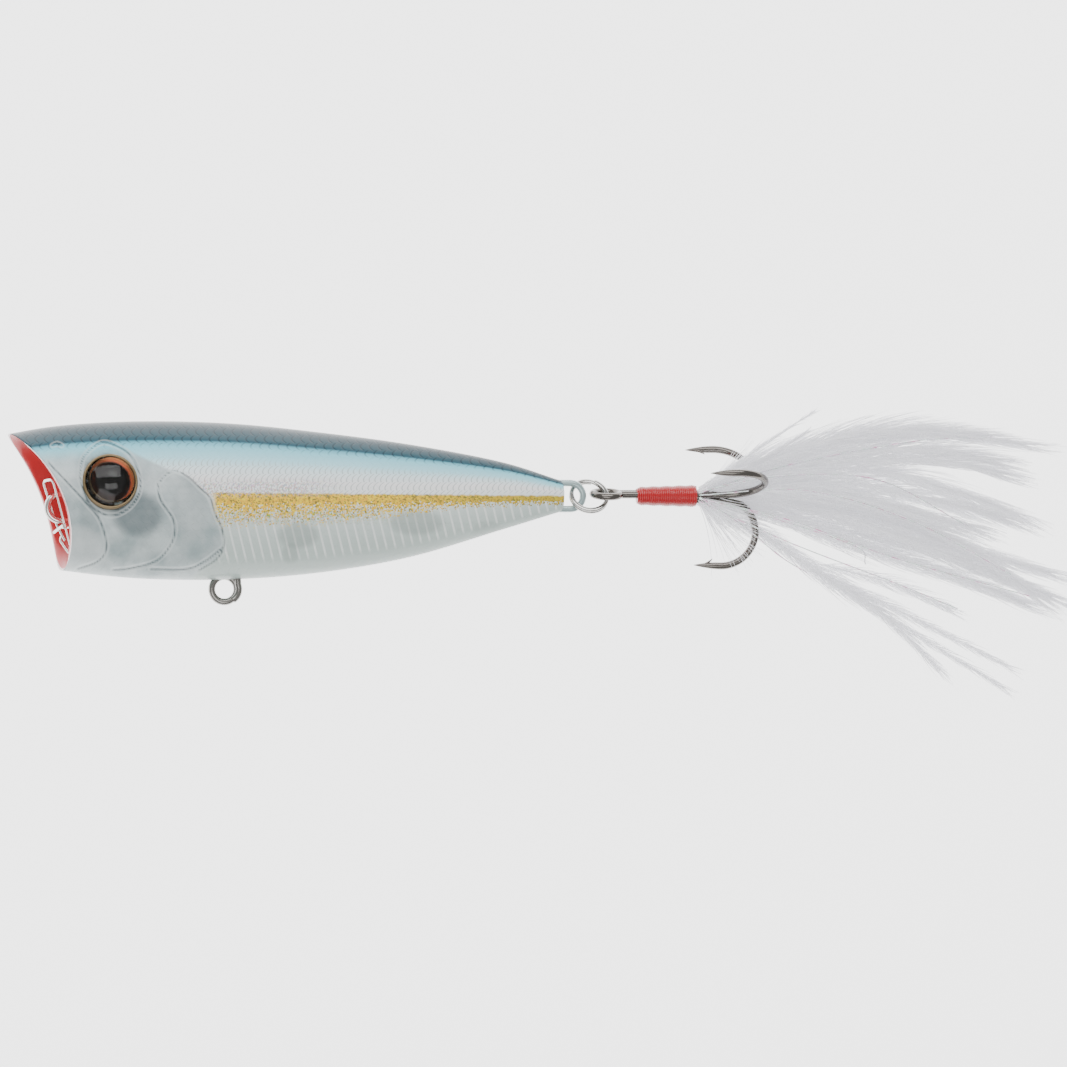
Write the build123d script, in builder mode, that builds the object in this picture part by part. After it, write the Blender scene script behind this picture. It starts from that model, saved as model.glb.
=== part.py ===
from build123d import *
import os
from math import cos, pi, radians, sin

# Topwater popper: a hollow body in two moulded halves, wire hangers, a line snap in the mouth cup,
# and a feathered treble hook on a split ring.
# Millimetres. +X runs from mouth to tail, +Y towards the back and +Z out of the left flank,
# which is uppermost while the lure lies on its side. The origin is the centre of the belly eye.

# ---------------------------------------------------------------- body sizes
body_length = 62.0  # upper lip to tail end
body_height = 17.4
body_width = 14.0
body_wall = 1.1
nose_reach = 24.1  # upper lip ahead of the belly eye
axis_height = 10.2  # the tail's centre line above the belly eye
tail_round = 0.6

# Each row is a cross-section: share of body_length from the upper lip, then the back above the
# centre line and the belly below it as shares of body_height, then half the width as a share of
# body_width. The first row lies ahead of the lip, in what the mouth cuts away.
sections = [
    (-0.024, 0.374, 0.405, 0.443),
    (0.090, 0.441, 0.467, 0.471),
    (0.235, 0.470, 0.520, 0.497),
    (0.398, 0.457, 0.526, 0.500),
    (0.561, 0.401, 0.483, 0.425),
    (0.724, 0.325, 0.385, 0.311),
    (0.887, 0.217, 0.216, 0.179),
    (1.000, 0.094, 0.094, 0.078),
]

# mouth and cup
lip_lead = 5.95  # upper lip ahead of the lower one
upper_lip = 6.85  # above the centre line
lower_lip = 8.15  # below it
mouth_hollow = 2.0  # how far the rim's sides curve back behind a straight line between the lips
lip_edge = 0.55
cup_depth = 4.7
cup_wall = 1.0

# chambers: webs across the hollow, as distances from the upper lip
hollow_start = 8.0
hollow_end = 53.5
web = 0.9
web_places = [22.0, 29.0, 42.0, 50.0]

# ---------------------------------------------------------------- eyes
eye_behind_lip = 10.0
eye_above_axis = 1.76
eye_radius = 3.0
eye_sunk = 0.9
foil_thickness = 0.15
lens_proud = 1.15
socket_wall = 0.8
glue_gap = 0.05

# ---------------------------------------------------------------- weights
rattle_radius = 2.0
rattle_behind_lip = 16.4
rattle_below_axis = 2.3
ballast_radius = 1.8
ballast_behind_lip = 32.4
ballast_below_axis = 4.3
tail_weight_radius = 1.2
tail_weight_length = 5.2
tail_weight_behind_lip = 46.0
tail_weight_below_axis = 2.5
pocket_gap = 0.05
pocket_wall = 0.7

# ---------------------------------------------------------------- wires
hanger_wire = 0.75
hanger_hole = 2.1  # clear hole of each hanger's loop
coined = 0.03  # how deep the forming pin flattened the belly eye's inside
tie_behind_lip = 5.8  # the line tie's bend centre behind the upper lip
tie_below_axis = 1.25
tie_anchor = 12.4  # its inner bend centre behind the upper lip
tail_loop_out = 0.85  # the tail loop's bend centre behind the body's end
tail_anchor_in = 5.2  # its inner bend centre ahead of the body's end
belly_shank = 4.2
anchor_gap = 0.05

snap_wire = 0.35
snap_top = 1.9
snap_bottom = 6.45
snap_half = 0.93
snap_lean = 16.1  # degrees that the hanging snap leans back
snap_turn = 65.0  # degrees between its flat and the body's middle plane
snap_link = 125.0  # where on the tie's bend it hangs, in degrees from +X

ring_outer = 2.2
ring_radial = 0.45
ring_coil = 0.28
ring_coil_gap = 0.04
ring_tilt = 36.0  # degrees between the ring's axis and +Z, towards the back
ring_play = 0.70  # slack between the ring and the tail loop
hook_play = 0.90  # slack between the ring and the hook's eye

# ---------------------------------------------------------------- treble hook
hook_wire = 0.8
hook_eye_hole = 2.2
hook_roll = 11.1  # degrees that the treble is rolled about its shank
hook_shank = 13.2  # eye centre to the start of the bends
bend_radius = 3.7
hook_point = 3.1  # length of the tapered point
barb_height = 0.42
barb_length = 1.1
wrap_start = 3.3  # behind the hook's eye centre
wrap_length = 6.8
wrap_front = 1.02
wrap_rear = 1.22

# ---------------------------------------------------------------- hackle and tinsel
hackle_thickness = 0.3
tinsel_width = 0.3
tinsel_thickness = 0.12

# ---------------------------------------------------------------- derived places
nose_x = -nose_reach
tail_x = nose_x + body_length
hanger_bend = (hanger_hole + hanger_wire) / 2
tail_loop_x = tail_x + tail_loop_out
ring_mid = ring_outer - ring_radial / 2
ring_hole = ring_outer - ring_radial
ring_axial = 2 * ring_coil + ring_coil_gap
ring_x = tail_loop_x + hanger_hole / 2 - ring_play + ring_hole
hook_eye_bend = (hook_eye_hole + hook_wire) / 2
hook_eye_x = ring_x + ring_hole - hook_play + hook_eye_hole / 2
shank_offset = 0.9 * hook_wire / 3**0.5  # the three shanks are brazed where they touch
wrap_x = hook_eye_x + wrap_start
wrap_end = wrap_x + wrap_length
bend_x = hook_eye_x + hook_shank


def behind_lip(distance):
    return nose_x + distance


def ellipse_loft(rows, inset):
    """The body's outside, or with an inset the inside of its wall."""
    with BuildPart() as shape:
        for share, back, belly, half in rows:
            with BuildSketch(Plane.YZ.offset(behind_lip(share * body_length))):
                with Locations((axis_height + (back - belly) / 2 * body_height, 0)):
                    Ellipse((back + belly) / 2 * body_height - inset, half * body_width - inset)
        loft()
    return shape.part


def finish(builder, name):
    builder.part.label = name
    export_step(builder.part, f"parts/{name}.step")


os.makedirs("parts", exist_ok=True)
outside = ellipse_loft(sections, 0)
inside = ellipse_loft(sections[1:-1], body_wall)

# ---------------------------------------------------------------- mouth
lip_high = Vector(nose_x, axis_height + upper_lip)
lip_low = Vector(nose_x + lip_lead, axis_height - lower_lip)
gape = (lip_high - lip_low).length
mouth_face = Plane(
    origin=(lip_high + lip_low) * 0.5,
    x_dir=lip_high - lip_low,
    z_dir=(lip_high - lip_low).rotate(Axis.Z, -90),
)
rim_radius = ((gape / 2) ** 2 + mouth_hollow**2) / (2 * mouth_hollow)
rim_centre = mouth_face.origin - mouth_face.z_dir * (rim_radius - mouth_hollow)
mouth_half_width = (sections[0][3] + sections[1][3]) / 2 * body_width


def bowl(grow):
    """The cup's inside, or with a wall added the back of it."""
    size = (
        gape / 2 - lip_edge + grow,
        mouth_half_width - lip_edge + grow,
        cup_depth + mouth_hollow + grow,
    )
    return mouth_face * scale(Sphere(1), by=size)


cup = bowl(0)
cup_back = bowl(cup_wall)

# ---------------------------------------------------------------- eye places
eye_axis = Axis((behind_lip(eye_behind_lip), axis_height + eye_above_axis, 0), (0, 0, 1))
flank_point, flank_normal = max(
    outside.find_intersection_points(eye_axis), key=lambda hit: hit[0].Z
)
eye_face = Plane(origin=flank_point, x_dir=(1, 0, 0), z_dir=flank_normal)

# ---------------------------------------------------------------- wire hangers
tie_x = behind_lip(tie_behind_lip)
tie_y = axis_height - tie_below_axis
tie_anchor_x = behind_lip(tie_anchor)
tail_anchor_x = tail_x - tail_anchor_in


def closed_hanger(front_x, rear_x, height):
    """A wire loop with a round bend at each end."""
    with BuildPart() as hanger:
        with BuildLine() as path:
            Line((front_x, height + hanger_bend), (rear_x, height + hanger_bend))
            CenterArc((rear_x, height), hanger_bend, 90, -180)
            Line((rear_x, height - hanger_bend), (front_x, height - hanger_bend))
            CenterArc((front_x, height), hanger_bend, 270, -180)
        with BuildSketch(Plane(origin=(front_x, height + hanger_bend, 0), z_dir=(1, 0, 0))):
            Circle(hanger_wire / 2)
        sweep(path=path.wires()[0])
    return hanger


line_tie = closed_hanger(tie_x, tie_anchor_x, tie_y)
finish(line_tie, "line_tie")

tail_hanger = closed_hanger(tail_anchor_x, tail_loop_x, axis_height)
finish(tail_hanger, "tail_hanger")

# The belly eye is a full ring whose spare end overlaps it on the left, under the belly. Its shank
# runs up into the body and ends in a crook round an anchor pin.
belly_bend = hanger_bend - coined
belly_anchor_y = hanger_hole / 4 + belly_shank
with BuildPart() as belly_hanger:
    Torus(belly_bend, hanger_wire / 2)
    with BuildLine() as spare_path:
        CenterArc((0, 0, 0.9 * hanger_wire), belly_bend, -42, 118)
    with BuildSketch(Plane(origin=spare_path.wires()[0] @ 0, z_dir=spare_path.wires()[0] % 0)):
        Circle(hanger_wire / 2)
    sweep(path=spare_path.wires()[0])
    with BuildLine() as shank_path:
        Line((belly_bend, hanger_hole / 4), (belly_bend, belly_anchor_y))
        CenterArc((0, belly_anchor_y), belly_bend, 0, 290)
    with BuildSketch(Plane(origin=shank_path.wires()[0] @ 0, z_dir=(0, 1, 0))):
        Circle(hanger_wire / 2)
    sweep(path=shank_path.wires()[0])
    Cylinder(hanger_hole / 2, 4 * hanger_wire, mode=Mode.SUBTRACT)
finish(belly_hanger, "belly_hanger")

# ---------------------------------------------------------------- moulded halves
anchor_pin = hanger_hole / 2 - anchor_gap
anchor_places = [
    (tie_anchor_x, tie_y),
    (tail_anchor_x, axis_height),
    (0, belly_anchor_y),
]
ballast_place = (behind_lip(ballast_behind_lip), axis_height - ballast_below_axis)
tail_weight_place = (behind_lip(tail_weight_behind_lip), axis_height - tail_weight_below_axis)

with BuildPart() as hollow:
    add(inside)
    with Locations((behind_lip(hollow_start), axis_height, 0)):
        Box(body_length, 2 * body_height, 2 * body_width, align=(Align.MAX, Align.CENTER, Align.CENTER),
            mode=Mode.SUBTRACT)
    with Locations((behind_lip(hollow_end), axis_height, 0)):
        Box(body_length, 2 * body_height, 2 * body_width, align=(Align.MIN, Align.CENTER, Align.CENTER),
            mode=Mode.SUBTRACT)
    with Locations(*[(behind_lip(place), axis_height, 0) for place in web_places]):
        Box(web, 2 * body_height, 2 * body_width, mode=Mode.SUBTRACT)
    add(cup_back, mode=Mode.SUBTRACT)
    with Locations(*anchor_places):
        Cylinder(anchor_pin, 2 * body_width, mode=Mode.SUBTRACT)
    with Locations(ballast_place):
        Cylinder(ballast_radius + pocket_wall, 2 * body_width, mode=Mode.SUBTRACT)
    with Locations(tail_weight_place):
        Box(
            tail_weight_length + 2 * pocket_wall,
            2 * (tail_weight_radius + pocket_wall),
            2 * body_width,
            mode=Mode.SUBTRACT,
        )
    with BuildSketch(eye_face.offset(-eye_sunk - socket_wall)):
        Circle(eye_radius + glue_gap + socket_wall)
    extrude(amount=body_wall + eye_sunk + socket_wall, mode=Mode.SUBTRACT)
    split(bisect_by=Plane.XY, keep=Keep.TOP)
    mirror(about=Plane.XY)

with BuildPart() as body:
    add(outside)
    fillet(body.edges().group_by(Axis.X)[-1], tail_round)
    with Locations(rim_centre):
        Cylinder(rim_radius, 4 * body_width, mode=Mode.SUBTRACT)
    add(cup, mode=Mode.SUBTRACT)
    add(hollow.part, mode=Mode.SUBTRACT)
    with Locations((*ballast_place, 0)):
        Sphere(ballast_radius + pocket_gap, mode=Mode.SUBTRACT)
    with Locations(Plane(origin=(*tail_weight_place, 0), z_dir=(1, 0, 0))):
        Cylinder(
            tail_weight_radius + pocket_gap, tail_weight_length + 2 * pocket_gap, mode=Mode.SUBTRACT
        )
    for hanger in (line_tie, tail_hanger, belly_hanger):
        add(hanger.part, mode=Mode.SUBTRACT)
    with BuildSketch(eye_face.offset(-eye_sunk)):
        Circle(eye_radius + glue_gap)
    extrude(amount=2 * eye_sunk, mode=Mode.SUBTRACT)

with BuildPart() as body_shell_left:
    add(body.part)
    split(bisect_by=Plane.XY, keep=Keep.TOP)
finish(body_shell_left, "body_shell_left")

with BuildPart() as body_shell_right:
    add(body_shell_left.part)
    mirror(about=Plane.XY, mode=Mode.REPLACE)
finish(body_shell_right, "body_shell_right")

# ---------------------------------------------------------------- eyes: printed foil under a dome
with BuildPart() as eye_foil_left:
    with BuildSketch(eye_face.offset(-eye_sunk)):
        Circle(eye_radius)
    extrude(amount=foil_thickness)
finish(eye_foil_left, "eye_foil_left")

lens_base = foil_thickness - eye_sunk
dome_height = lens_proud - foil_thickness
dome_radius = (eye_radius**2 + dome_height**2) / (2 * dome_height)
with BuildPart() as eye_lens_left:
    with BuildSketch(eye_face.offset(lens_base)):
        Circle(eye_radius)
    extrude(amount=lens_proud - lens_base)
    with Locations(eye_face.offset(lens_proud - dome_radius)):
        Sphere(dome_radius, mode=Mode.INTERSECT)
finish(eye_lens_left, "eye_lens_left")

for name, left in (("eye_foil_right", eye_foil_left), ("eye_lens_right", eye_lens_left)):
    with BuildPart() as right:
        add(left.part)
        mirror(about=Plane.XY, mode=Mode.REPLACE)
    finish(right, name)

# ---------------------------------------------------------------- weights and rattle
rattle_x = behind_lip(rattle_behind_lip)
rattle_y = axis_height - rattle_below_axis
wall_hits = inside.find_intersection_points(Axis((rattle_x, rattle_y, 0), (0, 0, 1)))
rattle_room = max(hit[0].Z for hit in wall_hits)
rattle_travel = rattle_room - 1.25 * rattle_radius
with BuildPart() as rattle_ball:
    with Locations((rattle_x, rattle_y, -rattle_travel)):
        Sphere(rattle_radius)
finish(rattle_ball, "rattle_ball")

with BuildPart() as ballast_ball:
    with Locations((*ballast_place, 0)):
        Sphere(ballast_radius)
finish(ballast_ball, "ballast_ball")

with BuildPart() as tail_weight:
    with Locations(Plane(origin=(*tail_weight_place, 0), z_dir=(1, 0, 0))):
        Cylinder(tail_weight_radius, tail_weight_length)
    chamfer(tail_weight.edges().filter_by(GeomType.CIRCLE), tail_weight_radius / 5)
finish(tail_weight, "tail_weight")

# ---------------------------------------------------------------- line snap
link_x = tie_x + hanger_bend * cos(radians(snap_link))
link_y = tie_y + hanger_bend * sin(radians(snap_link))
hang = Vector(sin(radians(snap_lean)), -cos(radians(snap_lean)), 0)
across = Vector(0, 0, 1) * sin(radians(snap_turn)) + Vector(
    -hang.Y, hang.X, 0
) * cos(radians(snap_turn))
snap_face = Plane(origin=(link_x, link_y, 0), x_dir=hang, z_dir=hang.cross(across))
snap_route = [
    (5.0, 0.0),
    (3.0, -0.78 * snap_half),
    (-snap_top, -snap_half),
    (-snap_top, snap_half),
    (snap_bottom, 0.75 * snap_half),
    (snap_bottom, 0.10 * snap_half),
    (4.85, -0.95 * snap_half),
    (4.45, -0.45 * snap_half),
]
snap_bends = [0.8, 0.72, 0.72, 0.27, 0.27, 0.2]
clasp_high = 3.25
clasp_low = 3.85
with BuildPart() as snap:
    with BuildLine(snap_face) as snap_path:
        FilletPolyline(*snap_route, radius=snap_bends)
    with BuildSketch(Plane(origin=snap_path.wires()[0] @ 0, z_dir=snap_path.wires()[0] % 0)):
        Circle(snap_wire / 2)
    sweep(path=snap_path.wires()[0], transition=Transition.ROUND)
    clasp_from = snap_face.from_local_coords(Vector(clasp_low, -1.15 * snap_half, 1.12 * snap_wire))
    clasp_to = snap_face.from_local_coords(Vector(clasp_high, 1.0 * snap_half, 0.9 * snap_wire))
    clasp_way = clasp_to - clasp_from
    with Locations(Plane(origin=clasp_from, z_dir=clasp_way)):
        Cylinder(
            snap_wire / 2, clasp_way.length, align=(Align.CENTER, Align.CENTER, Align.MIN)
        )
    with Locations(
        Plane(
            origin=snap_face.from_local_coords(Vector(clasp_high, 0.81 * snap_half, 0)),
            z_dir=snap_face.x_dir,
        )
    ):
        Torus(0.9 * snap_wire, snap_wire / 2)
        with Locations((0, 0, 1.02 * snap_wire)):
            Torus(0.9 * snap_wire, snap_wire / 2)
finish(snap, "snap")

# ---------------------------------------------------------------- split ring
ring_frame = Plane(
    origin=(ring_x, axis_height, 0),
    x_dir=(1, 0, 0),
    z_dir=(0, sin(radians(ring_tilt)), cos(radians(ring_tilt))),
)
with BuildPart() as split_ring:
    for side in (-1, 1):
        with BuildSketch(ring_frame.offset(side * (ring_coil + ring_coil_gap) / 2 - ring_coil / 2)):
            Circle(ring_outer)
            Circle(ring_hole, mode=Mode.SUBTRACT)
        extrude(amount=ring_coil)
    fillet(split_ring.edges(), 0.3 * ring_coil)
    with BuildSketch(ring_frame.offset(-ring_coil_gap)):
        with PolarLocations(ring_mid, 1, start_angle=75):
            Rectangle(0.8 * ring_radial, 4 * ring_radial)
    extrude(amount=2 * ring_coil_gap)
finish(split_ring, "split_ring")


# ---------------------------------------------------------------- treble hook
def hook_plane(direction):
    """Local X runs back along the shank and local Y out towards the point."""
    return Plane(
        origin=(0, axis_height, 0),
        x_dir=(1, 0, 0),
        z_dir=(0, -sin(radians(direction)), cos(radians(direction))),
    )


near_hook = 60 + hook_roll
low_hook = 180 + hook_roll
far_hook = 300 + hook_roll
point_height = shank_offset + 2 * bend_radius


def hook_leg(direction, front_x):
    """Shank, round bend, and tapered barbed point."""
    face = hook_plane(direction)
    with BuildPart() as leg:
        with BuildLine(face) as leg_path:
            Line((front_x, shank_offset), (bend_x, shank_offset))
            CenterArc((bend_x, shank_offset + bend_radius), bend_radius, -90, 180)
        with BuildSketch(Plane(origin=leg_path.wires()[0] @ 0, z_dir=(1, 0, 0))):
            Circle(hook_wire / 2)
        sweep(path=leg_path.wires()[0])
        with BuildSketch(face):
            with BuildLine():
                Polyline(
                    (bend_x, point_height),
                    (bend_x, point_height + hook_wire / 2),
                    (bend_x - 0.35 * hook_point, point_height + 0.47 * hook_wire),
                    (bend_x - hook_point, point_height + 0.04),
                    (bend_x - hook_point, point_height),
                    close=True,
                )
            make_face()
        revolve(axis=Axis(face.from_local_coords(Vector(0, point_height, 0)), face.x_dir))
        with BuildSketch(face):
            with BuildLine():
                Polyline(
                    (bend_x - 1.0 - barb_length, point_height),
                    (bend_x - 1.0, point_height - hook_wire / 2 - barb_height),
                    (bend_x - 1.0 - 0.15 * barb_length, point_height - 0.3 * hook_wire),
                    (bend_x - 1.0 - 0.3 * barb_length, point_height),
                    close=True,
                )
            make_face()
        extrude(amount=0.14, both=True)
    return leg.part


near_leg = hook_leg(near_hook, hook_eye_x + 0.94 * hook_eye_bend)
far_leg = hook_leg(far_hook, hook_eye_x + 0.94 * hook_eye_bend)
low_leg = hook_leg(low_hook, wrap_x + 0.3)
eye_frame = Plane(
    origin=(hook_eye_x, axis_height + shank_offset / 2 * cos(radians(hook_roll)),
            shank_offset / 2 * sin(radians(hook_roll))),
    x_dir=(1, 0, 0),
    z_dir=(0, cos(radians(hook_roll)), sin(radians(hook_roll))),
)
with BuildPart() as treble_pair:
    with Locations(eye_frame):
        Torus(hook_eye_bend, hook_wire / 2)
    add(near_leg)
    add(far_leg)
finish(treble_pair, "treble_pair")

with BuildPart() as treble_third:
    add(low_leg)
    add(treble_pair.part, mode=Mode.SUBTRACT)
finish(treble_third, "treble_third")

with BuildPart() as thread_wrap:
    with BuildSketch():
        with Locations((0, axis_height)):
            with BuildLine():
                Polyline(
                    (wrap_x, axis_height),
                    (wrap_x, axis_height + 0.78 * wrap_front),
                    (wrap_x + 0.45, axis_height + wrap_front),
                    (wrap_end - 0.35, axis_height + wrap_rear),
                    (wrap_end, axis_height + 0.9 * wrap_rear),
                    (wrap_end, axis_height),
                    close=True,
                )
            make_face()
    revolve(axis=Axis((0, axis_height, 0), (1, 0, 0)))
    add(treble_pair.part, mode=Mode.SUBTRACT)
    add(treble_third.part, mode=Mode.SUBTRACT)
finish(thread_wrap, "thread_wrap")

# ---------------------------------------------------------------- hackle and tinsel
def blade_outline(quill, half):
    """Both edges of a slim blade along a quill, widest past its middle."""
    edges = ([], [])
    last = len(quill) - 1
    for i, (x, y) in enumerate(quill):
        ahead = quill[min(i + 1, last)]
        behind = quill[max(i - 1, 0)]
        way = Vector(ahead[0] - behind[0], ahead[1] - behind[1]).normalized()
        swell = half * (0.12 + 0.88 * sin(pi * (0.08 + 0.88 * i / last)) ** 0.8)
        for side, edge in ((1, edges[0]), (-1, edges[1])):
            edge.append(
                (wrap_end + x - side * swell * way.Y, axis_height + y + side * swell * way.X)
            )
    return edges


def blade(quill, half, left, thickness):
    """A thin blade tied in behind the wrap, parted round the hooks."""
    high, low = blade_outline(quill, half)
    with BuildPart() as whole:
        with BuildSketch(Plane.XY.offset(left)):
            with BuildLine():
                Spline(*high)
                Spline(*low)
                Line(high[0], low[0])
                Line(high[-1], low[-1])
            make_face()
        extrude(amount=thickness / 2, both=True)
        with Locations((wrap_end, axis_height, 0)):
            Box(5, 20, 20, align=(Align.MAX, Align.CENTER, Align.CENTER), mode=Mode.SUBTRACT)
        add(treble_pair.part, mode=Mode.SUBTRACT)
        add(treble_third.part, mode=Mode.SUBTRACT)
    return whole.part.solids().sort_by(SortBy.VOLUME)[-1]


# The way each quill runs, as distances behind the wrap and above the shank, then half its width
# and how far to the left of the shank it lies.
hackles = {
    "hackle_wisp": ([(0, 0.9), (3.0, 2.6), (7.2, 5.4), (12.6, 8.4)], 0.55, 1.5),
    "hackle_upper": ([(0, 0.6), (8.0, 3.0), (18.0, 4.9), (28.0, 5.3), (37.2, 4.6)], 1.7, 0.9),
    "hackle_middle": ([(0, 0.3), (9.0, 2.2), (19.0, 3.0), (28.0, 0.6), (36.2, -3.2)], 1.9, 0.3),
    "hackle_main": ([(0, 0.0), (9.0, 0.2), (20.0, -2.6), (30.0, -6.8), (40.1, -11.4)], 1.9, -0.3),
    "hackle_under": ([(0, -0.4), (8.0, -1.2), (18.0, -4.4), (28.0, -7.6), (37.5, -11.9)], 1.6, -0.9),
    "hackle_lower": ([(0, -0.7), (7.6, -4.3), (15.0, -9.6), (24.0, -14.4), (35.5, -21.0)], 1.0, -1.5),
}
for name, (quill, half, left) in hackles.items():
    with BuildPart() as feather:
        add(blade(quill, half, left, hackle_thickness))
    finish(feather, name)

strands = [
    ([(0, 0.3), (10.0, 3.4), (24.0, 6.0), (33.0, 6.5)], 0.6),
    ([(0, -0.2), (7.5, -2.2), (17.5, -5.5), (18.7, -7.5)], 0),
    ([(0, -0.3), (10.0, -2.6), (22.0, -6.8), (37.2, -11.0)], -0.6),
    ([(0, -0.5), (10.0, -5.0), (22.0, -9.5), (29.2, -12.4)], -1.2),
]
with BuildPart() as tinsel:
    for quill, left in strands:
        add(blade(quill, tinsel_width / 2, left, tinsel_thickness))
finish(tinsel, "tinsel")
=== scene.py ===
import random
from math import cos, pi, radians, sin, sqrt

import bmesh
import bpy
from mathutils import Matrix, Vector
from mathutils.geometry import intersect_point_line


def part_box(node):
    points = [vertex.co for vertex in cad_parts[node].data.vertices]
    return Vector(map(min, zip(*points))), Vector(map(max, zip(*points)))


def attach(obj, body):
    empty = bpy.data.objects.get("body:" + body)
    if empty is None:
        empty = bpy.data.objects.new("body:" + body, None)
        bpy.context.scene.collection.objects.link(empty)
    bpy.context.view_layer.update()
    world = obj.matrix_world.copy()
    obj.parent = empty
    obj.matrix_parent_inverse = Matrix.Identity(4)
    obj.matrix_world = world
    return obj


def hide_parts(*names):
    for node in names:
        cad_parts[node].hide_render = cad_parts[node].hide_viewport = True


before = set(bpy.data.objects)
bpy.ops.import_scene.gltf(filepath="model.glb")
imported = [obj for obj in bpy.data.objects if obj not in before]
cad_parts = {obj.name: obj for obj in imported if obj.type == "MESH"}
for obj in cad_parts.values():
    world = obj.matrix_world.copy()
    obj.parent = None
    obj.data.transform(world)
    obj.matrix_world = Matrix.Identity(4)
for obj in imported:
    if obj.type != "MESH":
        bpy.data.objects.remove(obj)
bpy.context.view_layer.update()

MM = 0.001
random.seed(7)

# Sizes in millimetres in the row frame: +X mouth to tail, +Y the back, +Z out of the left flank.
YAW = radians(12)  # the nose is turned a little towards the camera
BODY_HEIGHT, BODY_WIDTH, AXIS_Y = 17.4, 14.0, 10.2
corner_low, corner_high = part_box("body_shell_left")
NOSE_X = corner_low[0] / MM
BODY_LENGTH = (corner_high[0] - corner_low[0]) / MM
TAIL_X = NOSE_X + BODY_LENGTH


# ------------------------------------------------------------------ materials
def colour(text):
    """sRGB hex to linear, with alpha."""
    parts = [int(text[i : i + 2], 16) / 255 for i in (1, 3, 5)]
    return [p / 12.92 if p <= 0.04045 else ((p + 0.055) / 1.055) ** 2.4 for p in parts] + [1.0]


def add(tree, kind, settings=None, links=None, **inputs):
    """A node with its properties, its incoming links and its constants."""
    made = tree.nodes.new(kind)
    for key, value in (settings or {}).items():
        setattr(made, key, value)
    for key, value in inputs.items():
        made.inputs[key.replace("_", " ")].default_value = value
    for key, source in (links or {}).items():
        if isinstance(source, (int, float)):
            made.inputs[key].default_value = source
        else:
            tree.links.new(source, made.inputs[key])
    return made


def calc(tree, how, a, b=0.0, c=0.0):
    return add(tree, "ShaderNodeMath", {"operation": how}, {0: a, 1: b, 2: c}).outputs[0]


def times(tree, *factors):
    product = factors[0]
    for factor in factors[1:]:
        product = calc(tree, "MULTIPLY", product, factor)
    return product


def opposite(tree, factor):
    """1 where the factor is 0, and 0 where it is 1."""
    return calc(tree, "SUBTRACT", 1.0, factor)


def smooth(tree, value, low, high):
    """0 below low, 1 above high."""
    made = add(tree, "ShaderNodeMapRange", {"interpolation_type": "SMOOTHSTEP"},
               {"Value": value, "From Min": low, "From Max": high})
    return made.outputs[0]


def blend_colour(tree, factor, a, b):
    """Colour a, or b where the factor is 1."""
    made = tree.nodes.new("ShaderNodeMix")
    made.data_type = "RGBA"
    for index, value in ((0, factor), (6, a), (7, b)):
        if isinstance(value, (int, float, list)):
            made.inputs[index].default_value = value
        else:
            tree.links.new(value, made.inputs[index])
    return made.outputs[2]


def tint_ramp(tree, value, stops):
    """Colours along a value, from (place, hex) stops."""
    made = add(tree, "ShaderNodeValToRGB", None, {"Fac": value})
    elements = made.color_ramp.elements
    for element, (spot, tint) in zip(elements, (stops[0], stops[-1])):
        element.position = spot
        element.color = colour(tint)
    for spot, tint in stops[1:-1]:
        elements.new(spot).color = colour(tint)
    return made.outputs[0]


def material(name, base="#808080", **inputs):
    made = bpy.data.materials.new(name)
    made.use_nodes = True
    shader = made.node_tree.nodes["Principled BSDF"]
    shader.inputs["Base Color"].default_value = colour(base)
    for key, value in inputs.items():
        shader.inputs[key.replace("_", " ")].default_value = value
    return made, made.node_tree, shader


def bump(tree, shader, height, depth):
    made = add(tree, "ShaderNodeBump", None, {"Height": height}, Strength=1.0, Distance=depth * MM)
    tree.links.new(made.outputs[0], shader.inputs["Normal"])


# drawn stainless wire, slightly brushed along its length
WIRE, wire_tree, wire_shader = material("stainless wire", "#8a8884", Metallic=1.0, Roughness=0.24)
wire_noise = add(wire_tree, "ShaderNodeTexNoise", None,
                 {"Vector": add(wire_tree, "ShaderNodeTexCoord").outputs["Object"]}, Scale=2500.0)
bump(wire_tree, wire_shader, wire_noise.outputs["Fac"], 0.01)
# the tail wire's root is coated with paint of the body
COATED, _, _ = material("painted wire", "#a3b7b8", Metallic=0.35, Roughness=0.25, Coat_Weight=1.0)
SNAP, _, _ = material("bright snap wire", "#dcd8d4", Metallic=1.0, Roughness=0.16)
RING, _, _ = material("polished ring", "#b5b4b1", Metallic=1.0, Roughness=0.15)
HOOK, _, _ = material("black nickel", "#6e6a66", Metallic=1.0, Roughness=0.2)
THREAD, _, _ = material("varnished red thread", "#b5000e", Roughness=0.35, Coat_Weight=0.6,
                        Specular_IOR_Level=0.6)

# hackle: soft white fibres that let light through, with a faint painted glow standing in for the light
# scattered among them
HACKLE, hackle_tree, hackle_shader = material(
    "white hackle", "#ffffff", Roughness=0.6, Specular_IOR_Level=0.25,
    Emission_Color=colour("#f7f7fb"), Emission_Strength=0.26)
through = add(hackle_tree, "ShaderNodeBsdfTranslucent", None, None, Color=colour("#fbfbff"))
fibre_mix = add(hackle_tree, "ShaderNodeMixShader", None,
                {0: 0.4, 1: hackle_shader.outputs[0], 2: through.outputs[0]})
hackle_tree.links.new(fibre_mix.outputs[0], hackle_tree.nodes["Material Output"].inputs["Surface"])

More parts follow.
